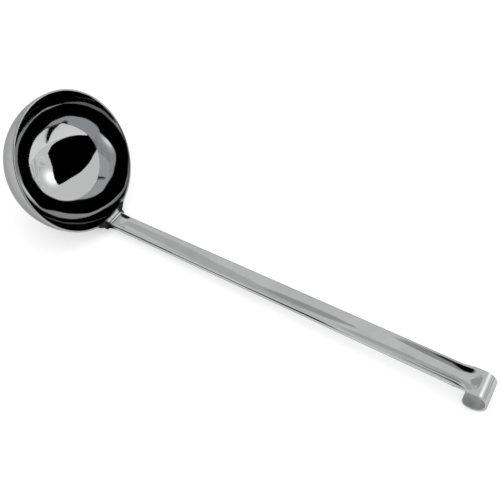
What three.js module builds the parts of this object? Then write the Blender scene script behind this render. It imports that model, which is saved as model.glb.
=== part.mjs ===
// Kitchen ladle: a deep round bowl, welded at its neck to a fluted strip handle that ends in a hook.
// Millimetres. It is shaped with the rim in the XY plane and the handle on the +X side, and is then
// laid on its back as on a table: +Z up, +X along the handle towards the hook.
import * as THREE from 'three';

// Bowl: a round cap, measured over its outside
const RIM_DIAMETER = 100;
const BOWL_DEPTH = 48;
const BOWL_SHEET = 1.2;

// Handle strip, measured on its top face
const HANDLE_SHEET = 1.5;
const HANDLE_LENGTH = 288;
const HANDLE_RISE = THREE.MathUtils.degToRad(58);
const HANDLE_OFFSET = 0.5;
const ROOT_WIDTH = 14.3;
const END_WIDTH = 18.4;
const SHOULDER_RADIUS = 2;
const EDGE_DROP = 3.2;
const ROOT_FOLD = 8;
const END_FOLD = 26;

// Flute pressed along the strip: it deepens towards the hook, and its crest is as wide as some of its depths
const FLUTE_DEPTH = 0.8;
const FLUTE_END_DEPTH = 2.4;
const FLUTE_DEEPENING = 110;
const FLUTE_START = 6;
const FLUTE_TO_HOOK = 9;
const FLUTE_LAND = 0.3;
const FLUTE_CREST_DEPTHS = 0.9;
const FLUTE_SQUARENESS = 3;

// Hook at the strip's end, bent back until its tongue lies flat on the table
const HOOK_RADIUS = 8.6;
const HOOK_WIDTH = 19.6;
const TONGUE_LENGTH = 15.5;
const TONGUE_CORNER = 4;

// Neck: the bowl's wall turns out to the strip, and a weld bead joins the two edges
const NECK_TURN = 9;
const NECK_REACH = 12;
const NECK_FILLET = 5;
const WELD_WIDTH = 1.2;
const WELD_CROWN = 0.3;
const WELD_CLEARANCE = 0.3;

// Facets of the bowl
const SHELL_COLUMNS = 56;
const REACH_COLUMNS = 5;
const SHELL_ROWS = 11;
const NECK_ROWS = 7;

// Facets of the weld and the handle: across half the strip, and along it from the neck to the tongue
const TOP_STATIONS = 7;
const SHOULDER_STATIONS = 4;
const EDGE_STATIONS = 4;
const WELD_ROWS = 4;
const FLARE_ROWS = 6;
const FLUTE_START_ROWS = 7;
const SHAFT_ROWS = 8;
const FOLD_ROWS = 14;
const BEND_ROWS = 20;
const TONGUE_ROWS = 5;
const FLARE_CROWDING = 1.5;
const TONGUE_CROWDING = 1.7;

// Step along the sheet over which its slope is measured
const SLOPE_STEP = 0.01;

// Values that follow from the sizes above
const rimRadius = RIM_DIAMETER / 2;
const outerRadius = (rimRadius ** 2 + BOWL_DEPTH ** 2) / (2 * BOWL_DEPTH);
const innerRadius = outerRadius - BOWL_SHEET;
const bowlCentre = new THREE.Vector3(0, 0, outerRadius - BOWL_DEPTH);
const rimAngle = Math.asin(-bowlCentre.z / innerRadius);
const innerRim = innerRadius * Math.cos(rimAngle);
const wallLength = innerRadius * (rimAngle + Math.PI / 2);

const along = new THREE.Vector3(Math.cos(HANDLE_RISE), 0, Math.sin(HANDLE_RISE));
const across = new THREE.Vector3(0, 1, 0);
const above = new THREE.Vector3(-along.z, 0, along.x);
const root = new THREE.Vector3(rimRadius + HANDLE_OFFSET, 0, 0);
const shoulderLength = SHOULDER_RADIUS * Math.PI / 2;
const weldStart = WELD_CLEARANCE;
const handleStart = weldStart + WELD_WIDTH + WELD_CLEARANCE;

const bendStart = HANDLE_LENGTH - HOOK_RADIUS;
const bendCentre = root.clone().addScaledVector(along, bendStart).addScaledVector(above, -HOOK_RADIUS);
const lyingTilt = tableTilt();
const bendTurn = Math.PI + HANDLE_RISE - lyingTilt;
const bendEnd = bendStart + HOOK_RADIUS * bendTurn;
const handleEnd = bendEnd + TONGUE_LENGTH - HOOK_RADIUS;

// The table touches the bowl and the hook's bend: a line tangent to both circles, seen from the side.
function tableTilt() {
  const span = bendCentre.clone().sub(bowlCentre);
  const slope = Math.atan2(span.z, span.x);
  return slope + Math.asin((outerRadius - HOOK_RADIUS) / span.length());
}

function ease(value) {
  return THREE.MathUtils.smoothstep(value, 0, 1);
}

// How far a quarter round of the given radius still stands out, at a distance from its start.
function quarterRound(radius, distance) {
  const rest = radius - THREE.MathUtils.clamp(distance, 0, radius);
  return radius - Math.sqrt(radius ** 2 - rest ** 2);
}

// How flat the strip is before its hook: 0 along the handle, 1 from the start of the bend.
function hookShare(s) {
  return ease((s - bendStart + END_FOLD) / END_FOLD);
}

// How far the strip has become a channel past the neck: 0 inside the bowl, 1 along the handle.
function channelShare(s) {
  return ease((s + NECK_FILLET) / (ROOT_FOLD + NECK_FILLET));
}

// How far the edges are turned down: hardly at the neck, fully along the handle, not in the hook.
function edgeTurn(s) {
  return Math.PI / 2 * channelShare(s) * (1 - hookShare(s));
}

// Length of the straight edge below the shoulder.
function edgeLength(s) {
  return (EDGE_DROP - SHOULDER_RADIUS) * channelShare(s);
}

// Half the strip's width with its edges rolled out flat, at a distance s past the rim.
function flatHalfWidth(s) {
  const share = THREE.MathUtils.clamp(s / bendStart, 0, 1);
  const channel = THREE.MathUtils.lerp(ROOT_WIDTH, END_WIDTH, share) / 2;
  const rolledOut = channel - SHOULDER_RADIUS + shoulderLength + edgeLength(s);
  return THREE.MathUtils.lerp(rolledOut, HOOK_WIDTH / 2, hookShare(s));
}

// Half the width of the strip's top face, between its shoulders.
function topHalfWidth(s) {
  return flatHalfWidth(s) - shoulderLength - edgeLength(s);
}

// End of an arc of the given length that starts level and turns down by the given angle.
function rolledDown(length, angle) {
  if (angle === 0) {
    return new THREE.Vector2(length, 0);
  }
  return new THREE.Vector2(Math.sin(angle), Math.cos(angle) - 1).multiplyScalar(length / angle);
}

// The strip before its flute: sideways place and height of a point y along the rolled-out half width.
function rolledSection(y, s) {
  const top = topHalfWidth(s);
  if (y <= top) {
    return new THREE.Vector2(y, 0);
  }
  const turn = edgeTurn(s);
  const shoulder = Math.min(y - top, shoulderLength);
  const edge = y - top - shoulder;
  return rolledDown(shoulder, turn * shoulder / shoulderLength)
    .add(new THREE.Vector2(top + edge * Math.cos(turn), -edge * Math.sin(turn)));
}

// Half the flute's width: it ends at the shoulders, and spreads to the edges where these are rolled out.
function fluteHalfWidth(s) {
  const side = rolledSection(flatHalfWidth(s), s).x;
  return THREE.MathUtils.lerp(topHalfWidth(s), side, hookShare(s) ** 2) - FLUTE_LAND;
}

// How deep the flute lies below the top face: a hollow with squarish ends and a soft crest all round.
function fluteDepth(sideways, s) {
  const half = fluteHalfWidth(s);
  const first = FLUTE_START + half;
  const last = HANDLE_LENGTH - FLUTE_TO_HOOK - half;
  const past = Math.max(first - s, s - last, 0);
  const squared = (sideways / half) ** FLUTE_SQUARENESS + (past / half) ** FLUTE_SQUARENESS;
  const share = squared ** (1 / FLUTE_SQUARENESS);
  const deepening = ease(1 + (s - last) / FLUTE_DEEPENING);
  const depth = THREE.MathUtils.lerp(FLUTE_DEPTH, FLUTE_END_DEPTH, deepening);
  const crest = FLUTE_CREST_DEPTHS * depth / half;
  if (share < 1 - crest) {
    return depth * (1 - share ** 2 / (1 - crest));
  }
  return depth * Math.max(1 - share, 0) ** 2 / crest;
}

// Section of the strip: sideways place and height of a point y along the rolled-out half width.
function stripSection(y, s) {
  const section = rolledSection(y, s);
  section.y -= fluteDepth(section.x, s);
  return section;
}

// Middle line of the strip's top face, and the direction it faces, at a distance s past the rim.
function spine(s) {
  const angle = THREE.MathUtils.clamp((s - bendStart) / HOOK_RADIUS, 0, bendTurn);
  const facing = above.clone().multiplyScalar(Math.cos(angle)).addScaledVector(along, Math.sin(angle));
  const running = along.clone().multiplyScalar(Math.cos(angle)).addScaledVector(above, -Math.sin(angle));
  const straight = Math.min(s - bendStart, 0) + Math.max(s - bendEnd, 0);
  const point = bendCentre.clone().addScaledVector(facing, HOOK_RADIUS).addScaledVector(running, straight);
  return { point, facing };
}

function stripPoint(y, s) {
  const { point, facing } = spine(s);
  const section = stripSection(Math.abs(y), s);
  return point.addScaledVector(across, Math.sign(y) * section.x).addScaledVector(facing, section.y);
}

// Inside of the bowl's wall: y runs round the rim from the handle, s up the wall to 0 at the rim.
function wallPoint(y, s) {
  const height = rimAngle + s / innerRadius;
  const azimuth = y / innerRim;
  const radius = innerRadius * Math.cos(height);
  const z = bowlCentre.z + innerRadius * Math.sin(height);
  return new THREE.Vector3(radius * Math.cos(azimuth), radius * Math.sin(azimuth), z);
}

// The whole ladle's inner and top face: the wall turns into the strip at the neck.
function sheetPoint(y, s) {
  const rise = ease(1 + s / NECK_TURN);
  const reach = 1 - ease((Math.abs(y) - flatHalfWidth(s)) / NECK_REACH);
  return wallPoint(y, s).lerp(stripPoint(y, s), rise * reach);
}

// Direction that the inner and top face looks in.
function sheetNormal(y, s) {
  const overWidth = sheetPoint(y + SLOPE_STEP, s).sub(sheetPoint(y - SLOPE_STEP, s));
  const overLength = sheetPoint(y, s + SLOPE_STEP).sub(sheetPoint(y, s - SLOPE_STEP));
  return overLength.cross(overWidth).normalize();
}

// Places across the sheet at s, from its -Y edge to its +Y edge: top, shoulders and edges, with the
// fillets at the neck and the rounded corners at the end of the tongue.
function stations(s) {
  const tip = 1 - quarterRound(TONGUE_CORNER, handleEnd - s) / flatHalfWidth(s);
  const top = topHalfWidth(s);
  const edge = edgeLength(s) + quarterRound(NECK_FILLET, s);
  const half = [];
  for (let i = 1; i <= TOP_STATIONS; i += 1) {
    half.push(top * i / TOP_STATIONS);
  }
  for (let i = 1; i <= SHOULDER_STATIONS; i += 1) {
    half.push(top + shoulderLength * i / SHOULDER_STATIONS);
  }
  for (let i = 1; i <= EDGE_STATIONS; i += 1) {
    half.push(top + shoulderLength + edge * i / EDGE_STATIONS);
  }
  return [...half.map((y) => -y).reverse(), 0, ...half].map((y) => y * tip);
}

// Evenly spaced values from first to last, closer together at the start where the power is over 1.
function spread(first, last, count, power = 1) {
  const values = [];
  for (let i = 0; i <= count; i += 1) {
    values.push(first + (last - first) * (i / count) ** power);
  }
  return values;
}

// A closed solid between two offsets of the sheet. Each vertex holds a point, a normal and two offsets.
function sheetSolid(vertices, triangles) {
  const count = vertices.length;
  const positions = [];
  for (const side of ['over', 'under']) {
    for (const vertex of vertices) {
      positions.push(...vertex.point.clone().addScaledVector(vertex.normal, vertex[side]));
    }
  }
  const edges = new Set();
  const index = [];
  for (const [a, b, c] of triangles) {
    index.push(a, b, c, c + count, b + count, a + count);
    edges.add(`${a},${b}`).add(`${b},${c}`).add(`${c},${a}`);
  }
  for (const edge of edges) {
    const [a, b] = edge.split(',').map(Number);
    if (!edges.has(`${b},${a}`)) {
      index.push(b, a, a + count, b, a + count, b + count);
    }
  }
  const geometry = new THREE.BufferGeometry();
  geometry.setAttribute('position', new THREE.Float32BufferAttribute(positions, 3));
  geometry.setIndex(index);
  geometry.computeVertexNormals();
  return geometry;
}

function gridTriangles(rows, columns, ring) {
  const triangles = [];
  const last = ring ? columns : columns - 1;
  for (let i = 0; i < rows - 1; i += 1) {
    for (let j = 0; j < last; j += 1) {
      const a = i * columns + j;
      const b = i * columns + (j + 1) % columns;
      triangles.push([a, b + columns, b], [a, a + columns, b + columns]);
    }
  }
  return triangles;
}

function bowlGeometry() {
  const neck = stations(0);
  const neckHalf = neck[neck.length - 1];
  const reachHalf = flatHalfWidth(0) + NECK_REACH;
  const girth = 2 * Math.PI * innerRim;
  const columns = [
    ...neck,
    ...spread(neckHalf, reachHalf, REACH_COLUMNS).slice(1),
    ...spread(reachHalf, girth - reachHalf, SHELL_COLUMNS).slice(1, -1),
    ...spread(girth - reachHalf, girth - neckHalf, REACH_COLUMNS).slice(0, -1),
  ];
  const lower = spread(-wallLength, -NECK_TURN, SHELL_ROWS).slice(1, -1);
  const rows = [...lower, ...spread(-NECK_TURN, 0, NECK_ROWS)];
  const vertices = [];
  for (const s of rows) {
    for (const y of columns) {
      const place = y > girth / 2 ? y - girth : y;
      vertices.push({
        point: sheetPoint(place, s), normal: sheetNormal(place, s), over: 0, under: -BOWL_SHEET,
      });
    }
  }
  const triangles = gridTriangles(rows.length, columns.length, true);
  const pole = vertices.length;
  vertices.push({
    point: wallPoint(0, -wallLength), normal: new THREE.Vector3(0, 0, 1), over: 0, under: -BOWL_SHEET,
  });
  for (let j = 0; j < columns.length; j += 1) {
    triangles.push([pole, j, (j + 1) % columns.length]);
  }
  return sheetSolid(vertices, triangles);
}

// A stretch of the sheet from edge to edge, with its offsets given for each row.
function stripGeometry(rows, offsets) {
  const vertices = [];
  let columns = 0;
  rows.forEach((s, i) => {
    const places = stations(s);
    columns = places.length;
    for (const y of places) {
      vertices.push({ point: sheetPoint(y, s), normal: sheetNormal(y, s), ...offsets(i) });
    }
  });
  return sheetSolid(vertices, gridTriangles(rows.length, columns, false));
}

function weldGeometry() {
  const rows = spread(weldStart, weldStart + WELD_WIDTH, WELD_ROWS);
  return stripGeometry(rows, (i) => {
    const crown = WELD_CROWN * Math.sin(Math.PI * i / WELD_ROWS);
    return { over: crown, under: -BOWL_SHEET - crown };
  });
}

function handleGeometry() {
  const flareEnd = handleStart + NECK_FILLET;
  const fluteStarted = flareEnd + FLUTE_START + ROOT_WIDTH / 2;
  const foldStart = bendStart - END_FOLD;
  const cornerStart = Math.max(handleEnd - TONGUE_CORNER, bendEnd);
  const rows = [
    ...spread(handleStart, flareEnd, FLARE_ROWS, FLARE_CROWDING),
    ...spread(flareEnd, fluteStarted, FLUTE_START_ROWS).slice(1),
    ...spread(fluteStarted, foldStart, SHAFT_ROWS).slice(1),
    ...spread(foldStart, bendStart, FOLD_ROWS).slice(1),
    ...spread(bendStart, bendEnd, BEND_ROWS).slice(1),
    ...spread(handleEnd, cornerStart, TONGUE_ROWS, TONGUE_CROWDING).reverse().slice(1),
  ];
  return stripGeometry(rows, () => ({ over: 0, under: -HANDLE_SHEET }));
}

function steelPiece(name, geometry, colour, roughness) {
  const material = new THREE.MeshStandardMaterial({ color: colour, roughness, metalness: 1 });
  const mesh = new THREE.Mesh(geometry, material);
  mesh.name = name;
  return mesh;
}

// The ladle is turned on its back, and its origin is set below its middle, on the table.
function layDown(pieces) {
  const lying = new THREE.Group();
  lying.rotation.y = lyingTilt;
  lying.add(...pieces);
  const placed = new THREE.Group();
  placed.add(lying);
  const box = new THREE.Box3().setFromObject(placed, true);
  const centre = box.getCenter(new THREE.Vector3());
  lying.position.set(-centre.x, 0, -box.min.z);
  return placed;
}

export default layDown([
  steelPiece('bowl', bowlGeometry(), 0xc4c6c8, 0.08),
  steelPiece('neck_weld', weldGeometry(), 0xcfd0d1, 0.18),
  steelPiece('handle', handleGeometry(), 0xbfc1c3, 0.14),
]);
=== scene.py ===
"""Looks of a polished steel kitchen ladle that lies on its back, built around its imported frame.

Lengths are in metres and angles in radians, but the cards' directions are in degrees. Each piece is shaped
upright, with the rim in the XY plane, the bowl's axis on Z and the handle on the +X side. It is then laid
down as the frame lies: +Z up, +X to the hook.
"""

import logging
import math
from collections.abc import Callable, Iterable
from dataclasses import dataclass, field
from enum import Enum
from functools import cached_property

import bpy
from mathutils import Matrix, Vector


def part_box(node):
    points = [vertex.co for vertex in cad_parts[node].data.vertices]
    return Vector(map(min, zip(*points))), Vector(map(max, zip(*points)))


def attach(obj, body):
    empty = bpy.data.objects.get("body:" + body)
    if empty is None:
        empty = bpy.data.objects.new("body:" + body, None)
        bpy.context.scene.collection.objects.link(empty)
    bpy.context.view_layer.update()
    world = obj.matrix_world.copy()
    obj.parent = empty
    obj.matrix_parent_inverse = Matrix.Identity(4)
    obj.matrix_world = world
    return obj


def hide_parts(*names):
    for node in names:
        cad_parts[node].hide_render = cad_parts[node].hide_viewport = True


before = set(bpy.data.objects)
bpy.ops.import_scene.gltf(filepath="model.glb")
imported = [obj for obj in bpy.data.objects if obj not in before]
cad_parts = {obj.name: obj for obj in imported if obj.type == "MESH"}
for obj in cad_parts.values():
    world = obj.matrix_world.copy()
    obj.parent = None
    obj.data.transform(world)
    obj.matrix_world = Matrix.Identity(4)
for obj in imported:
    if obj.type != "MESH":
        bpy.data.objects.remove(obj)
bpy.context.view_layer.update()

LOG = logging.getLogger("ladle")
BODY = "root"
MERGE_DISTANCE = 1e-6
SMOOTH_ANGLE = math.radians(40)
# Share of the sheet's thickness over which its slope is taken
PROBE_SHARE = 0.01
# Solidify's offset that leaves the front where it is
FRONT_STAYS = -1.0

UP = Vector((0, 0, 1))
ACROSS = Vector((0, 1, 0))


class Side(Enum):
    """The two faces of a sheet, each with its material slot."""

    FRONT = 0
    BACK = 1


def ease(value: float) -> float:
    """Smooth step from 0 to 1 over values from 0 to 1."""
    share = min(max(value, 0.0), 1.0)
    return share * share * (3 - 2 * share)


def between(first: float, last: float, share: float) -> float:
    """Value at a share of the way from first to last."""
    return first + (last - first) * share


def quarter_round(radius: float, distance: float) -> float:
    """How far a quarter round still stands out.

    Args:
        radius: Radius of the round.
        distance: Distance from where the round starts.

    Returns:
        The radius at the start of the round, falling to 0 where it ends.
    """
    rest = radius - min(max(distance, 0.0), radius)
    return radius - math.sqrt(radius**2 - rest**2)


@dataclass(frozen=True)
class Sheet:
    """Inner and top face of the ladle, from the bottom of the bowl over the neck to the end of the hook.

    A place on it is given by y, across from the ladle's middle plane, and s, along from the rim. Down the
    bowl's wall s is negative, and along the handle it is positive.
    """

    rim_diameter: float = 0.100
    bowl_depth: float = 0.048
    bowl_gauge: float = 0.0012
    handle_gauge: float = 0.0015
    handle_length: float = 0.288
    handle_rise: float = math.radians(58)
    handle_offset: float = 0.0005
    root_width: float = 0.0143
    end_width: float = 0.0184
    shoulder_radius: float = 0.002
    edge_drop: float = 0.0032
    root_fold: float = 0.008
    end_fold: float = 0.026
    flute_depth: float = 0.0008
    flute_end_depth: float = 0.0024
    flute_deepening: float = 0.110
    flute_start: float = 0.006
    flute_to_hook: float = 0.009
    flute_land: float = -0.0002
    flute_crest_depths: float = 0.25
    flute_squareness: float = 3.0
    hook_radius: float = 0.0086
    hook_width: float = 0.0196
    tongue_length: float = 0.0155
    tongue_corner: float = 0.004
    neck_turn: float = 0.0016
    neck_reach: float = 0.009
    neck_fillet: float = 0.005
    weld_width: float = 0.0012
    weld_crown: float = 0.0003
    weld_clearance: float = 0.0003

    @cached_property
    def outer_radius(self) -> float:
        """Radius of the bowl's outside, from its rim and depth."""
        return ((self.rim_diameter / 2) ** 2 + self.bowl_depth**2) / (2 * self.bowl_depth)

    @cached_property
    def inner_radius(self) -> float:
        """Radius of the bowl's inside."""
        return self.outer_radius - self.bowl_gauge

    @cached_property
    def bowl_centre(self) -> Vector:
        """Centre of the bowl's round wall."""
        return Vector((0, 0, self.outer_radius - self.bowl_depth))

    @cached_property
    def rim_angle(self) -> float:
        """Angle of the rim above the level of the bowl's centre."""
        return math.asin(-self.bowl_centre.z / self.inner_radius)

    @cached_property
    def inner_rim(self) -> float:
        """Radius of the rim's inner edge."""
        return self.inner_radius * math.cos(self.rim_angle)

    @cached_property
    def along(self) -> Vector:
        """Direction of the handle, from the bowl to the hook."""
        return Vector((math.cos(self.handle_rise), 0, math.sin(self.handle_rise)))

    @cached_property
    def above(self) -> Vector:
        """Direction that the handle's top face looks in."""
        return Vector((-math.sin(self.handle_rise), 0, math.cos(self.handle_rise)))

    @cached_property
    def root(self) -> Vector:
        """Point of the handle's middle line that lies at the rim."""
        return Vector((self.rim_diameter / 2 + self.handle_offset, 0, 0))

    @cached_property
    def bend_start(self) -> float:
        """Where the hook's bend starts, along the handle."""
        return self.handle_length - self.hook_radius

    @cached_property
    def bend_centre(self) -> Vector:
        """Centre of the hook's bend."""
        return self.root + self.along * self.bend_start - self.above * self.hook_radius

    @cached_property
    def lying_tilt(self) -> float:
        """Turn about Y that lays the ladle down: the table touches the bowl and the hook's bend."""
        span = self.bend_centre - self.bowl_centre
        slope = math.atan2(span.z, span.x)
        return slope + math.asin((self.outer_radius - self.hook_radius) / span.length)

    @cached_property
    def bend_turn(self) -> float:
        """Angle of the hook's bend, which brings its tongue flat on the table."""
        return math.pi + self.handle_rise - self.lying_tilt

    @cached_property
    def handle_start(self) -> float:
        """Where the handle's own sheet starts, past the weld."""
        return self.weld_width + 2 * self.weld_clearance

    @cached_property
    def shoulder_length(self) -> float:
        """Length of a shoulder of the strip, unrolled."""
        return self.shoulder_radius * math.pi / 2

    def lying(self) -> Matrix:
        """Matrix that lays the upright ladle down where the frame's bowl lies."""
        low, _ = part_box("bowl")
        turn = Matrix.Rotation(self.lying_tilt, 4, "Y")
        centre = Vector((low.x + self.outer_radius, 0, low.z + self.outer_radius))
        return Matrix.Translation(centre - turn @ self.bowl_centre) @ turn

    def hook_share(self, s: float) -> float:
        """How flat the strip is before its hook: 0 along the handle, 1 from the start of the bend."""
        return ease((s - self.bend_start + self.end_fold) / self.end_fold)

    def channel_share(self, s: float) -> float:
        """How far the strip has become a channel past the neck: 0 in the bowl, 1 along the handle."""
        return ease((s + self.neck_fillet) / (self.root_fold + self.neck_fillet))

    def edge_turn(self, s: float) -> float:
        """Angle by which the strip's edges are turned down."""
        return math.pi / 2 * self.channel_share(s) * (1 - self.hook_share(s))

    def edge_length(self, s: float) -> float:
        """Length of the straight edge below the shoulder."""
        return (self.edge_drop - self.shoulder_radius) * self.channel_share(s)

    def flat_half_width(self, s: float) -> float:
        """Half the strip's width with its edges rolled out flat."""
        share = min(max(s / self.bend_start, 0.0), 1.0)
        channel = between(self.root_width, self.end_width, share) / 2
        rolled_out = channel - self.shoulder_radius + self.shoulder_length + self.edge_length(s)
        return between(rolled_out, self.hook_width / 2, self.hook_share(s))

    def top_half_width(self, s: float) -> float:
        """Half the width of the strip's top face, between its shoulders."""
        return self.flat_half_width(s) - self.shoulder_length - self.edge_length(s)

    def flute_half_width(self, s: float) -> float:
        """Half the flute's width: up to the shoulders, or to the edges where these are rolled out."""
        side, _ = self.rolled(self.flat_half_width(s), s)
        return between(self.top_half_width(s), side, self.hook_share(s) ** 2) - self.flute_land

    def flute(self, sideways: float, s: float) -> float:
        """Depth of the flute: a hollow with squarish ends that deepens to the hook, and a soft crest."""
        half = self.flute_half_width(s)
        first = self.flute_start + half
        last = self.handle_length - self.flute_to_hook - half
        past = max(first - s, s - last, 0.0)
        power = self.flute_squareness
        share = ((sideways / half) ** power + (past / half) ** power) ** (1 / power)
        if share >= 1:
            return 0.0
        depth = between(self.flute_depth, self.flute_end_depth, ease(1 + (s - last) / self.flute_deepening))
        crest = self.flute_crest_depths * depth / half
        if share < 1 - crest:
            return depth * (1 - share**2 / (1 - crest))
        return depth * ((1 - share) ** 2 / crest)

    def rolled(self, y: float, s: float) -> tuple[float, float]:
        """Sideways place and height of a point of the strip's half section, without the flute."""
        top = self.top_half_width(s)
        if y <= top:
            return y, 0.0
        turn = self.edge_turn(s)
        shoulder = min(y - top, self.shoulder_length)
        edge = y - top - shoulder
        angle = turn * shoulder / self.shoulder_length
        reach = shoulder / angle if angle else 0.0
        sideways = reach * math.sin(angle) if angle else shoulder
        return top + sideways + edge * math.cos(turn), reach * (math.cos(angle) - 1) - edge * math.sin(turn)

    def section(self, y: float, s: float) -> tuple[float, float]:
        """Section of the strip at s.

        Args:
            y: Place along the rolled-out half width, 0 at the middle.
            s: Place along the handle.

        Returns:
            The point's sideways place and its height over the top face.
        """
        sideways, height = self.rolled(y, s)
        return sideways, height - self.flute(sideways, s)

    def strip_point(self, y: float, s: float) -> Vector:
        """Point of the handle's straight strip."""
        sideways, height = self.section(abs(y), s)
        return self.root + self.along * s + ACROSS * math.copysign(sideways, y) + self.above * height

    def wall_point(self, y: float, s: float) -> Vector:
        """Point of the inside of the bowl's wall: y runs round the rim from the handle."""
        height = self.rim_angle + s / self.inner_radius
        azimuth = y / self.inner_rim
        radius = self.inner_radius * math.cos(height)
        z = self.bowl_centre.z + self.inner_radius * math.sin(height)
        return Vector((radius * math.cos(azimuth), radius * math.sin(azimuth), z))

    def point(self, y: float, s: float) -> Vector:
        """Point of the whole face: the wall turns into the strip at the neck."""
        rise = ease(1 + s / self.neck_turn)
        reach = 1 - ease((abs(y) - self.flat_half_width(s)) / self.neck_reach)
        share = rise * reach
        return self.wall_point(y, s).lerp(self.strip_point(y, s), share) if share else self.wall_point(y, s)

    def normal(self, y: float, s: float) -> Vector:
        """Direction that the inner and top face looks in."""
        step = self.bowl_gauge * PROBE_SHARE
        over_width = self.point(y + step, s) - self.point(y - step, s)
        over_length = self.point(y, s + step) - self.point(y, s - step)
        return over_length.cross(over_width).normalized()

    def half_span(self, s: float) -> float:
        """Half the sheet's rolled-out width at s, with the neck's fillets."""
        return self.flat_half_width(s) + quarter_round(self.neck_fillet, s)


class Bench:
    """The modelling tools: each works on one piece, with nothing else selected."""

    @staticmethod
    def clear() -> None:
        """Leaves edit mode and deselects everything."""
        if bpy.context.object and bpy.context.object.mode != "OBJECT":
            bpy.ops.object.mode_set(mode="OBJECT")
        bpy.ops.object.select_all(action="DESELECT")

    @staticmethod
    def added(name: str) -> bpy.types.Object:
        """The primitive that was just added, under its name and with its place in its mesh."""
        piece = bpy.context.object
        piece.name = name
        piece.data.name = name
        bpy.ops.object.transform_apply(location=True, rotation=True, scale=True)
        return piece

    @staticmethod
    def pick(piece: bpy.types.Object, test: Callable[[Vector], bool]) -> None:
        """Selects the vertices that pass a test, and what lies between them, in edit mode.

        Args:
            piece: The piece that is being modelled.
            test: Says of a vertex's place whether it is selected.
        """
        bpy.ops.object.mode_set(mode="EDIT")
        bpy.ops.mesh.select_mode(type="VERT")
        bpy.ops.mesh.select_all(action="DESELECT")
        bpy.ops.object.mode_set(mode="OBJECT")
        for vertex in piece.data.vertices:
            vertex.select = test(vertex.co)
        bpy.ops.object.mode_set(mode="EDIT")
        bpy.ops.mesh.select_mode(type="VERT")

    @staticmethod
    def press(piece: bpy.types.Object, shape: Callable[[Vector], Vector]) -> None:
        """Moves each vertex to where a forming tool takes it.

        Args:
            piece: The piece that is being modelled.
            shape: Gives a vertex's new place from its old one.
        """
        bpy.ops.object.mode_set(mode="OBJECT")
        for vertex in piece.data.vertices:
            vertex.co = shape(vertex.co)
        piece.data.update()

    @staticmethod
    def face_towards(piece: bpy.types.Object, outlook: Callable[[Vector], Vector]) -> None:
        """Merges doubles and turns the sheet's front to one side.

        Args:
            piece: An open sheet.
            outlook: Gives the direction that the sheet looks in at a place.
        """
        bpy.ops.object.mode_set(mode="EDIT")
        bpy.ops.mesh.select_all(action="SELECT")
        bpy.ops.mesh.remove_doubles(threshold=MERGE_DISTANCE)
        bpy.ops.mesh.normals_make_consistent(inside=False)
        bpy.ops.object.mode_set(mode="OBJECT")
        first = piece.data.polygons[0]
        if first.normal.dot(outlook(first.center)) < 0:
            bpy.ops.object.mode_set(mode="EDIT")
            bpy.ops.mesh.flip_normals()
            bpy.ops.object.mode_set(mode="OBJECT")

    @staticmethod
    def apply(piece: bpy.types.Object, kind: str, **settings: object) -> None:
        """Adds a modifier with its settings and applies it."""
        bpy.ops.object.mode_set(mode="OBJECT")
        modifier = piece.modifiers.new(kind.lower(), kind)
        for name, value in settings.items():
            setattr(modifier, name, value)
        bpy.ops.object.modifier_apply(modifier=modifier.name)

    @classmethod
    def thicken(cls, piece: bpy.types.Object, gauge: float) -> None:
        """Gives a sheet its thickness, with the cut edge finished as the back."""
        cls.apply(
            piece, "SOLIDIFY", thickness=gauge, offset=FRONT_STAYS, use_even_offset=True,
            material_offset=Side.BACK.value, material_offset_rim=Side.BACK.value,
        )

    @classmethod
    def round_edges(cls, piece: bpy.types.Object, radius: float, steps: int) -> None:
        """Rounds the sharp edges and shades the rest smooth."""
        cls.apply(
            piece, "BEVEL", width=radius, segments=steps, limit_method="ANGLE", angle_limit=SMOOTH_ANGLE,
            use_clamp_overlap=True, harden_normals=False,
        )
        bpy.ops.object.shade_smooth_by_angle(angle=SMOOTH_ANGLE)

    @staticmethod
    def lay_down(piece: bpy.types.Object, lying: Matrix) -> None:
        """Turns the finished piece on its back and leaves its place in its mesh."""
        piece.matrix_world = lying
        bpy.ops.object.transform_apply(location=True, rotation=True, scale=True)


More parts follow.
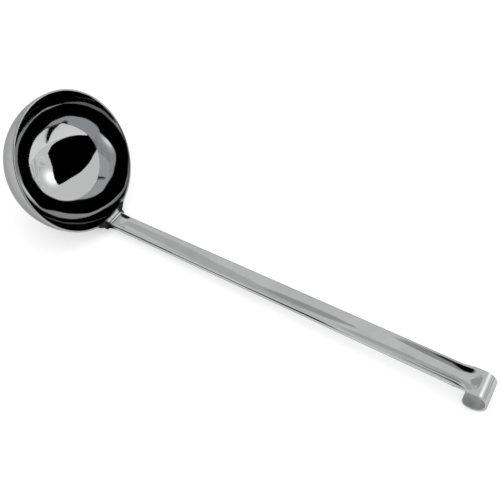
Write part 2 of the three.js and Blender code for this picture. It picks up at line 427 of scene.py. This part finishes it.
class Paint:
    """A material that is being mixed: its nodes, and the ways in which they are added and linked."""

    def __init__(self, name: str) -> None:
        """Starts a material with its usual shader."""
        self.material = bpy.data.materials.new(name)
        self.material.use_nodes = True
        self.nodes = self.material.node_tree.nodes
        self.links = self.material.node_tree.links

    @property
    def shader(self) -> bpy.types.Node:
        """The material's usual shader."""
        return self.nodes["Principled BSDF"]

    @cached_property
    def place(self) -> bpy.types.NodeSocket:
        """The place on the object, in metres."""
        return self.nodes.new("ShaderNodeTexCoord").outputs["Object"]

    def seen_from(self, middle: Iterable[float], reach: Iterable[float]) -> bpy.types.NodeSocket:
        """Adds the place as seen from a middle, in shares of a reach along each axis."""
        around = self.nodes.new("ShaderNodeMapping")
        around.vector_type = "TEXTURE"
        around.inputs["Location"].default_value = middle
        around.inputs["Scale"].default_value = reach
        self.links.new(self.place, around.inputs["Vector"])
        return around.outputs["Vector"]

    def length(self, vector: bpy.types.NodeSocket) -> bpy.types.NodeSocket:
        """Adds the length of a vector."""
        away = self.nodes.new("ShaderNodeVectorMath")
        away.operation = "LENGTH"
        self.links.new(vector, away.inputs[0])
        return away.outputs["Value"]

    def noise(
        self, vector: bpy.types.NodeSocket, size: float, detail: float, twist: float = 0.0,
    ) -> bpy.types.NodeSocket:
        """Adds a soft noise.

        Args:
            vector: Where the noise is read.
            size: Size of its grains.
            detail: How many finer noises lie over it.
            twist: How far it is distorted.

        Returns:
            The noise, from 0 to 1.
        """
        noise = self.nodes.new("ShaderNodeTexNoise")
        noise.inputs["Scale"].default_value = 1 / size
        noise.inputs["Detail"].default_value = detail
        noise.inputs["Distortion"].default_value = twist
        self.links.new(vector, noise.inputs["Vector"])
        return noise.outputs["Fac"]

    def spread(
        self, value: bpy.types.NodeSocket, source: tuple[float, float], target: tuple[float, float],
    ) -> bpy.types.NodeSocket:
        """Adds a value that is taken from one range to another."""
        spread = self.nodes.new("ShaderNodeMapRange")
        for name, limit in zip(("From Min", "From Max", "To Min", "To Max"), source + target):
            spread.inputs[name].default_value = limit
        self.links.new(value, spread.inputs["Value"])
        return spread.outputs["Result"]

    def math(self, operation: str, *values: bpy.types.NodeSocket | float) -> bpy.types.NodeSocket:
        """Adds a calculation with values that are constants or come from other nodes."""
        result = self.nodes.new("ShaderNodeMath")
        result.operation = operation
        for socket, value in zip(result.inputs, values):
            if isinstance(value, bpy.types.NodeSocket):
                self.links.new(value, socket)
            else:
                socket.default_value = value
        return result.outputs["Value"]

    def bump(self, height: bpy.types.NodeSocket, depth: float) -> bpy.types.Node:
        """Adds a bump of a depth."""
        bump = self.nodes.new("ShaderNodeBump")
        bump.inputs["Distance"].default_value = depth
        self.links.new(height, bump.inputs["Height"])
        return bump


@dataclass(frozen=True)
class PaintedDarkReflection:
    """Painted dark reflection beside the weld: the steel's colour darkened where the neck mirrors black,
    given by its middle on the sheet.
    """

    y: float
    s: float
    reach: tuple[float, float, float]
    fade: float = 0.3
    dark: float = 0.04

    def darken(self, colour: bpy.types.NodeSocket, sheet: Sheet, paint: Paint) -> bpy.types.NodeSocket:
        """Darkens a colour inside the mark, as a painted dark reflection.

        Args:
            colour: The colour without the mark.
            sheet: The ladle's face that the mark lies on.
            paint: The steel's material.

        Returns:
            The colour with the mark.
        """
        middle = sheet.lying() @ sheet.point(self.y, self.s)
        away = paint.length(paint.seen_from(middle, self.reach))
        level = paint.spread(away, (1 - self.fade, 1.0), (self.dark, 1.0))
        darkened = paint.nodes.new("ShaderNodeVectorMath")
        darkened.operation = "SCALE"
        paint.links.new(colour, darkened.inputs[0])
        paint.links.new(level, darkened.inputs["Scale"])
        return darkened.outputs["Vector"]


# Painted dark reflections beside the weld: the colour falls almost to black there, in place of the black
# that the neck mirrors.
PAINTED_DARK_REFLECTIONS = (
    PaintedDarkReflection(y=-0.0115, s=0.000, reach=(0.0100, 0.0065, 0.006)),
    PaintedDarkReflection(y=0.0120, s=0.000, reach=(0.0060, 0.0060, 0.006)),
    PaintedDarkReflection(y=0.0050, s=0.0065, reach=(0.0045, 0.0022, 0.003)),
)


@dataclass(frozen=True)
class Finish:
    """A steel finish: its colour, its polish and the fine lines that polishing left in it."""

    name: str
    colour: tuple[float, float, float]
    roughness: tuple[float, float]
    cloud_size: float
    line_spacing: tuple[float, float, float]
    line_depth: float
    line_roughness: float
    wobble_size: float
    wobble_depth: float
    tint: float = 0.04
    grazing: float = 1.0
    cloud_detail: float = 4.0
    cloud_range: tuple[float, float] = (0.3, 0.7)
    line_detail: float = 3.0
    wobble_detail: float = 1.0

    def material(self, sheet: Sheet, marks: Iterable[PaintedDarkReflection] = PAINTED_DARK_REFLECTIONS) -> bpy.types.Material:
        """Builds the finish as a material.

        Args:
            sheet: The ladle's face, which the marks lie on.
            marks: The painted dark reflections beside the weld.

        Returns:
            A steel whose roughness drifts in soft clouds, with the polish's lines as a fine bump and
            painted dark reflections beside the weld.
        """
        paint = Paint(self.name)
        shader = paint.shader.inputs
        shader["Metallic"].default_value = 1.0
        shader["Specular Tint"].default_value = (self.grazing,) * 3 + (1,)
        clouds = paint.noise(paint.place, self.cloud_size, self.cloud_detail)
        along_lines = paint.seen_from((0, 0, 0), self.line_spacing)
        lines = paint.noise(along_lines, 1.0, self.line_detail)
        wobble = paint.noise(paint.place, self.wobble_size, self.wobble_detail)

        drift = paint.spread(clouds, self.cloud_range, self.roughness)
        streaks = paint.math("MULTIPLY_ADD", lines, self.line_roughness, drift)
        paint.links.new(streaks, shader["Roughness"])

        shade = paint.nodes.new("ShaderNodeMix")
        shade.data_type = "RGBA"
        shade.inputs["A"].default_value = (*self.colour, 1)
        shade.inputs["B"].default_value = (*(part * (1 - self.tint) for part in self.colour), 1)
        paint.links.new(clouds, shade.inputs["Factor"])
        colour = shade.outputs["Result"]
        # Painted shade: the dark reflections beside the weld are darkened into the colour.
        for mark in marks:
            colour = mark.darken(colour, sheet, paint)
        paint.links.new(colour, shader["Base Color"])

        swell = paint.bump(wobble, self.wobble_depth)
        grain = paint.bump(lines, self.line_depth)
        paint.links.new(swell.outputs["Normal"], grain.inputs["Normal"])
        paint.links.new(grain.outputs["Normal"], shader["Normal"])
        return paint.material


STEEL = (0.5, 0.503, 0.507)
MIRROR = Finish(
    "mirror_steel", STEEL, roughness=(0.02, 0.05), cloud_size=0.03,
    line_spacing=(0.004, 0.004, 0.004), line_depth=0.000001, line_roughness=0.02,
    wobble_size=0.016, wobble_depth=0.0002, grazing=0.25,
)
OUTSIDE = Finish(
    "outside_steel", (0.46, 0.463, 0.467), roughness=(0.16, 0.26), cloud_size=0.012,
    line_spacing=(0.003, 0.003, 0.003), line_depth=0.000002, line_roughness=0.05,
    wobble_size=0.012, wobble_depth=0.0003, tint=0.2, grazing=0.5,
)
BEAD = Finish(
    "bead_steel", (0.6, 0.602, 0.604), roughness=(0.12, 0.2), cloud_size=0.003,
    line_spacing=(0.0006, 0.0009, 0.0006), line_depth=0.00002, line_roughness=0.05,
    wobble_size=0.002, wobble_depth=0.0001,
)
POLISHED = Finish(
    "polished_strip", (0.52, 0.523, 0.527), roughness=(0.04, 0.09), cloud_size=0.015,
    line_spacing=(0.03, 0.0006, 0.0006), line_depth=0.000001, line_roughness=0.05,
    wobble_size=0.03, wobble_depth=0.0003, tint=0.25, grazing=0.7,
)
SATIN = Finish(
    "satin_strip", (0.54, 0.543, 0.547), roughness=(0.45, 0.55), cloud_size=0.006,
    line_spacing=(0.012, 0.0004, 0.0004), line_depth=0.000004, line_roughness=0.06,
    wobble_size=0.03, wobble_depth=0.0002, tint=0.15,
)


@dataclass
class Bowl:
    """The deep round bowl: one drawn sheet, its wall turned out at the neck."""

    sheet: Sheet
    columns: int = 320
    rows: int = 76
    rim_round: float = 0.0004
    round_steps: int = 3
    finishes: tuple[Finish, Finish] = (MIRROR, OUTSIDE)

    def build(self) -> bpy.types.Object:
        """Models the bowl.

        Returns:
            The finished piece, laid down in its place.
        """
        sheet = self.sheet
        Bench.clear()
        bottom = sheet.bowl_centre - UP * sheet.inner_radius
        bpy.ops.mesh.primitive_plane_add(size=sheet.bowl_gauge, location=bottom)
        piece = Bench.added("bowl_shell")
        self.spin_wall(piece)
        Bench.press(piece, self.turn_out)
        Bench.face_towards(piece, lambda place: sheet.bowl_centre - place)
        for finish in self.finishes:
            piece.data.materials.append(finish.material(sheet))
        Bench.thicken(piece, sheet.bowl_gauge)
        Bench.round_edges(piece, self.rim_round, self.round_steps)
        Bench.lay_down(piece, sheet.lying())
        return piece

    def spin_wall(self, piece: bpy.types.Object) -> None:
        """Draws the wall's arc from the bottom to the rim, and spins it round the bowl's axis."""
        sheet = self.sheet
        Bench.pick(piece, lambda place: True)
        bpy.ops.mesh.merge(type="CENTER")
        bpy.ops.mesh.spin(
            steps=self.rows, angle=sheet.rim_angle + math.pi / 2, center=sheet.bowl_centre, axis=-ACROSS,
        )
        bpy.ops.mesh.select_all(action="SELECT")
        bpy.ops.mesh.spin(steps=self.columns, angle=2 * math.pi, center=sheet.bowl_centre, axis=UP)
        bpy.ops.mesh.select_all(action="SELECT")
        bpy.ops.mesh.remove_doubles(threshold=MERGE_DISTANCE)

    def turn_out(self, place: Vector) -> Vector:
        """Where the wall's point goes when the neck is turned out towards the handle."""
        sheet = self.sheet
        from_centre = place - sheet.bowl_centre
        level = math.hypot(from_centre.x, from_centre.y)
        s = (math.atan2(from_centre.z, level) - sheet.rim_angle) * sheet.inner_radius
        y = math.atan2(from_centre.y, from_centre.x) * sheet.inner_rim
        return sheet.point(y, s) if s > -sheet.neck_turn else place


@dataclass
class NeckWeld:
    """The bead of the butt weld across the neck, which laps a little over both sheets."""

    sheet: Sheet
    lap: float = 0.0007
    sides: int = 24
    cuts: int = 60
    end_round: float = 0.0003
    round_steps: int = 3
    finish: Finish = BEAD

    def build(self) -> bpy.types.Object:
        """Models the bead as a round bar that is flattened and bent over the neck.

        Returns:
            The finished piece, laid down in its place.
        """
        Bench.clear()
        bpy.ops.mesh.primitive_cylinder_add(
            vertices=self.sides, radius=1, depth=2, rotation=(math.pi / 2, 0, 0),
        )
        piece = Bench.added("weld_bead")
        self.cut_lengthwise(piece)
        Bench.press(piece, self.bend)
        piece.data.materials.append(self.finish.material(self.sheet))
        Bench.round_edges(piece, self.end_round, self.round_steps)
        Bench.lay_down(piece, self.sheet.lying())
        return piece

    def cut_lengthwise(self, piece: bpy.types.Object) -> None:
        """Divides the bar's long edges, so that it can be bent."""
        bpy.ops.object.mode_set(mode="EDIT")
        bpy.ops.mesh.select_mode(type="EDGE")
        bpy.ops.mesh.select_all(action="DESELECT")
        bpy.ops.object.mode_set(mode="OBJECT")
        mesh = piece.data
        for edge in mesh.edges:
            first, last = (mesh.vertices[i].co.y for i in edge.vertices)
            edge.select = first * last < 0
        bpy.ops.object.mode_set(mode="EDIT")
        bpy.ops.mesh.subdivide(number_cuts=self.cuts)

    def bend(self, place: Vector) -> Vector:
        """Where a point of the round bar, one unit in radius and half length, lies on the neck."""
        sheet = self.sheet
        middle = sheet.handle_start / 2
        s = middle + place.x * (sheet.weld_width / 2 + self.lap)
        y = place.y * sheet.half_span(middle)
        height = place.z * (sheet.bowl_gauge / 2 + sheet.weld_crown) - sheet.bowl_gauge / 2
        return sheet.point(y, s) + sheet.normal(y, s) * height


@dataclass
class Handle:
    """The handle: one pressed strip with a flute, turned-down edges and a hook with a short tongue."""

    sheet: Sheet
    rows: int = 270
    top_columns: int = 14
    shoulder_columns: int = 10
    edge_columns: int = 5
    bend_rows: int = 36
    tongue_rows: int = 12
    crowding: float = 1.8
    edge_round: float = 0.0004
    round_steps: int = 3
    finishes: tuple[Finish, Finish] = (POLISHED, SATIN)

    @property
    def half_columns(self) -> int:
        """Columns of the strip from its middle to its edge."""
        return self.top_columns + self.shoulder_columns + self.edge_columns

    def build(self) -> bpy.types.Object:
        """Models the handle.

        Returns:
            The finished piece, laid down in its place.
        """
        sheet = self.sheet
        Bench.clear()
        bpy.ops.mesh.primitive_grid_add(
            x_subdivisions=self.rows, y_subdivisions=2 * self.half_columns, size=2,
        )
        piece = Bench.added("handle_strip")
        Bench.press(piece, self.form_strip)
        self.bend_hook(piece)
        self.draw_tongue(piece)
        Bench.face_towards(piece, lambda place: sheet.above)
        for finish in self.finishes:
            piece.data.materials.append(finish.material(sheet))
        Bench.thicken(piece, sheet.handle_gauge)
        Bench.round_edges(piece, self.edge_round, self.round_steps)
        Bench.lay_down(piece, sheet.lying())
        return piece

    def across(self, column: float, s: float) -> float:
        """Place across the rolled-out strip of a column, counted from the middle."""
        sheet = self.sheet
        top = sheet.top_half_width(s)
        if column <= self.top_columns:
            return top * column / self.top_columns
        if column <= self.top_columns + self.shoulder_columns:
            return top + sheet.shoulder_length * (column - self.top_columns) / self.shoulder_columns
        edge = sheet.half_span(s) - top - sheet.shoulder_length
        past = column - self.top_columns - self.shoulder_columns
        return top + sheet.shoulder_length + edge * past / self.edge_columns

    def form_strip(self, place: Vector) -> Vector:
        """Where a point of the flat blank, from -1 to 1 each way, lies on the formed strip."""
        sheet = self.sheet
        share = (place.x + 1) / 2
        s = between(sheet.handle_start, sheet.bend_start, share)
        y = math.copysign(self.across(round(abs(place.y) * self.half_columns), s), place.y)
        return sheet.point(y, s)

    def past_bend_start(self, place: Vector) -> float:
        """How far a point lies past the start of the hook's bend, along the handle."""
        return (place - self.sheet.root).dot(self.sheet.along) - self.sheet.bend_start

    def bend_hook(self, piece: bpy.types.Object) -> None:
        """Spins the strip's end edge round the hook's bend."""
        sheet = self.sheet
        Bench.pick(piece, lambda place: self.past_bend_start(place) > -MERGE_DISTANCE)
        bpy.ops.mesh.spin(
            steps=self.bend_rows, angle=sheet.bend_turn, center=sheet.bend_centre, axis=-ACROSS,
        )

    def draw_tongue(self, piece: bpy.types.Object) -> None:
        """Extrudes the hook's tongue row by row, narrowing it over its rounded corners."""
        sheet = self.sheet
        run = Vector((math.cos(sheet.lying_tilt), 0, math.sin(sheet.lying_tilt))) * -1
        length = sheet.tongue_length - sheet.hook_radius
        width = sheet.hook_width
        reached = 0.0
        for row in range(1, self.tongue_rows + 1):
            left = length * (1 - row / self.tongue_rows) ** self.crowding
            bpy.ops.mesh.extrude_region_move(
                TRANSFORM_OT_translate={"value": run * (length - left - reached)},
            )
            reached = length - left
            narrowed = sheet.hook_width - 2 * quarter_round(sheet.tongue_corner, left)
            bpy.ops.transform.resize(value=(1, narrowed / width, 1), center_override=(0, 0, 0))
            width = narrowed


# Places that the cards' corners are seen from
BOWL_PLACE = (-0.150, 0.0, 0.020)
HOOK_PLACE = (0.165, 0.0, 0.015)


@dataclass(frozen=True)
class Card:
    """A card of the studio that the steel mirrors, given by the directions of its corners from one place.

    A direction is an azimuth from +X towards +Y and an elevation over the floor, both in degrees.
    """

    name: str
    corners: tuple[tuple[float, float], ...]
    facing: tuple[float, float]
    distance: float
    seen_from: tuple[float, float, float] = BOWL_PLACE
    light: float = 0.0
    cover: float = 1.0
    glow: tuple[tuple[float, float], ...] = ()
    glow_radius: float = 0.3
    folds: float = 0.0
    fold_size: float = 0.2
    fold_detail: float = 1.0
    fold_twist: float = 1.5
    fold_wave: float = 0.1

    @staticmethod
    def direction(azimuth: float, elevation: float) -> Vector:
        """Direction of an azimuth and an elevation."""
        turn, lift = math.radians(azimuth), math.radians(elevation)
        return Vector((math.cos(lift) * math.cos(turn), math.cos(lift) * math.sin(turn), math.sin(lift)))

    def build(self) -> bpy.types.Object:
        """Cuts the flat card so that its corners lie in their directions.

        Returns:
            The card, which only the steel's reflections see.
        """
        eye = Vector(self.seen_from)
        axis = self.direction(*self.facing)
        Bench.clear()
        bpy.ops.mesh.primitive_circle_add(vertices=len(self.corners), fill_type="NGON")
        card = Bench.added(self.name)
        for vertex, corner in zip(card.data.vertices, self.corners):
            ray = self.direction(*corner)
            vertex.co = eye + ray * (self.distance / ray.dot(axis))
        card.data.update()
        card.data.materials.append(self.material(eye + axis * self.distance))
        card.visible_camera = False
        card.visible_shadow = False
        card.visible_diffuse = False
        return card

    def material(self, middle: Vector) -> bpy.types.Material:
        """The card's light: even, in soft rings round its middle, or in folds.

        Args:
            middle: Place of the card's middle.

        Returns:
            A material that only glows, and is black where it has no light.
        """
        paint = Paint(self.name)
        paint.nodes.remove(paint.shader)
        glow = paint.nodes.new("ShaderNodeEmission")
        glow.inputs["Strength"].default_value = self.light
        veil = paint.nodes.new("ShaderNodeMixShader")
        veil.inputs["Fac"].default_value = self.cover
        clear = paint.nodes.new("ShaderNodeBsdfTransparent")
        paint.links.new(clear.outputs["BSDF"], veil.inputs[1])
        paint.links.new(glow.outputs["Emission"], veil.inputs[2])
        paint.links.new(veil.outputs["Shader"], paint.nodes["Material Output"].inputs["Surface"])
        if self.glow:
            paint.links.new(self.rings(paint, middle), glow.inputs["Strength"])
        if self.folds:
            paint.links.new(self.waves(paint), glow.inputs["Strength"])
        return paint.material

    def rings(self, paint: Paint, middle: Vector) -> bpy.types.NodeSocket:
        """Light in soft rings round the middle: the glow lists the curve's two ends, then the rest."""
        away = paint.length(paint.seen_from(middle, (self.glow_radius,) * 3))
        rings = paint.nodes.new("ShaderNodeFloatCurve")
        rings.mapping.extend = "HORIZONTAL"
        rings.mapping.clip_max_y = max(light for _, light in self.glow)
        points = rings.mapping.curves[0].points
        ends = len(points)
        for point, spot in zip(points, self.glow[:ends]):
            point.location = spot
        for spot in self.glow[ends:]:
            points.new(*spot)
        rings.mapping.update()
        paint.links.new(away, rings.inputs["Value"])
        return rings.outputs["Value"]

    def waves(self, paint: Paint) -> bpy.types.NodeSocket:
        """Light that rises and falls with the folds of a hung sheet."""
        cloth = paint.noise(paint.place, self.fold_size, self.fold_detail, self.fold_twist)
        waves = paint.math("PINGPONG", cloth, self.fold_wave)
        return paint.math("MULTIPLY_ADD", waves, self.folds / self.fold_wave, self.light - self.folds / 2)


# Dark cards for the photographer's black cloths and camera, light and grey ones for the lamp and the room
CARDS = (
    Card(
        "dark_far",
        (
            (41, 53), (29, 46), (10, 34), (3, 12), (-7, 6), (-17, 3), (-38, 1), (-80, 0),
            (-80, 37), (-70, 52), (-54, 62), (-8, 67), (21, 63),
        ),
        facing=(-25, 38), distance=1.6,
    ),
    Card(
        "dark_near",
        (
            (-66, 54), (-66, 0), (-92, 0), (-130, 0), (-130, 39), (-104, 39), (-98, 21), (-84, 24),
            (-79, 37), (-70, 52),
        ),
        facing=(-95, 20), distance=0.35,
    ),
    Card(
        "dark_camera", ((-111, 66.6), (49, 77.6), (16, 58.5), (-54, 45), (-101, 51)), facing=(0, 90),
        distance=0.45, seen_from=HOOK_PLACE,
    ),
    Card(
        "veil_camera", ((179, 77), (0, 59.6), (-54, 45), (-106, 50)), facing=(0, 90), distance=0.451,
        seen_from=HOOK_PLACE, cover=0.5,
    ),
    Card(
        "dark_back", ((125, -1), (190, -1), (190, 12), (125, 12)), facing=(146, 6), distance=1.2,
        light=0.03,
    ),
    Card(
        "dark_left", ((190, -1), (265, -1), (265, 14), (190, 12)), facing=(228, 6), distance=1.2,
        light=0.03,
    ),
    Card(
        "grey_back", ((68, 8), (88, 8), (88, 32), (68, 32)), facing=(78, 20), distance=1.0,
        light=0.74,
    ),
    Card(
        "grey_band", ((150, 50), (142, 62), (97, 35), (105, 21)), facing=(123, 42), distance=1.6,
        light=0.78,
    ),
    Card(
        "grey_oval",
        (
            (141, 30), (142, 37), (138, 45), (130, 51), (122, 52), (117, 47), (119, 39), (126, 32),
            (135, 28),
        ),
        facing=(167.3, 14.2), distance=0.299, seen_from=HOOK_PLACE, light=0.58,
    ),
    Card(
        "lamp", ((41, 53), (29, 46), (10, 34), (5, 22), (50, 18), (64, 52)), facing=(30, 41), distance=1.1,
        glow=((0, 2.8), (1, 1.0), (0.35, 2.2), (0.7, 1.35)), glow_radius=0.34,
    ),
    Card(
        "folded_sheet", ((12, 2), (62, 2), (66, 24), (10, 24)), facing=(38, 14), distance=1.5,
        light=0.9, folds=0.4, fold_size=0.9,
    ),
)


@dataclass
class Studio:
    """The white studio: floor, sky, cards and the camera."""

    eye: Vector = field(default_factory=lambda: Vector((0.15617, -0.31090, 0.45364)))
    forward: Vector = field(default_factory=lambda: Vector((-0.27900, 0.57746, -0.76727)))
    roll: float = math.radians(4.65)
    focal_pixels: float = 818.1
    frame_pixels: float = 500.0
    sensor: float = 36.0
    floor_size: float = 12.0
    floor_drop: float = 0.0002
    floor_colour: float = 0.8
    floor_lift: float = 0.4
    clip_start: float = 0.01

    def build(self, cards: Iterable[Card]) -> None:
        """Sets up the sky, the floor, the cards and the camera."""
        scene = bpy.context.scene
        scene.view_settings.view_transform = "Standard"
        world = bpy.data.worlds.new("sky")
        world.use_nodes = True
        world.node_tree.nodes["Background"].inputs["Color"].default_value = (1, 1, 1, 1)
        scene.world = world
        self.lay_floor()
        for card in cards:
            card.build()
        self.set_camera()

    def lay_floor(self) -> None:
        """Lays the pale floor, which keeps the shadow and is lifted to white for what looks at it."""
        Bench.clear()
        bpy.ops.mesh.primitive_plane_add(size=self.floor_size, location=(0, 0, -self.floor_drop))
        floor = Bench.added("floor")
        paint = Paint("floor")
        shader = paint.shader.inputs
        shader["Base Color"].default_value = (self.floor_colour,) * 3 + (1,)
        shader["Roughness"].default_value = 1.0
        shader["Specular IOR Level"].default_value = 0.0
        shader["Emission Color"].default_value = (1, 1, 1, 1)
        path = paint.nodes.new("ShaderNodeLightPath")
        seen = paint.math("MAXIMUM", path.outputs["Is Camera Ray"], path.outputs["Is Glossy Ray"])
        paint.links.new(paint.math("MULTIPLY", seen, self.floor_lift), shader["Emission Strength"])
        floor.data.materials.append(paint.material)

    def set_camera(self) -> None:
        """Sets the camera where the photograph was taken from."""
        data = bpy.data.cameras.new("camera")
        data.sensor_width = self.sensor
        data.lens = self.sensor * self.focal_pixels / self.frame_pixels
        data.clip_start = self.clip_start
        camera = bpy.data.objects.new("camera", data)
        bpy.context.scene.collection.objects.link(camera)
        aim = self.forward.to_track_quat("-Z", "Y").to_matrix().to_4x4()
        camera.matrix_world = Matrix.Translation(self.eye) @ aim @ Matrix.Rotation(self.roll, 4, "Z")
        bpy.context.scene.camera = camera


def main() -> None:
    """Builds the studio and the ladle's three pieces, and reports each."""
    logging.basicConfig(level=logging.INFO, format="%(message)s")
    Studio().build(CARDS)
    sheet = Sheet()
    pieces = (
        (Bowl(sheet), "bowl", "polished_bowl"),
        (NeckWeld(sheet), "neck_weld", "weld_seam"),
        (Handle(sheet), "handle", "polished_handle"),
    )
    for maker, node, slot in pieces:
        piece = maker.build()
        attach(piece, BODY)
        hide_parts(node)
        LOG.info("%s stands for %s: %d faces", piece.name, node, len(piece.data.polygons))


if __name__ == "__main__":
    main()
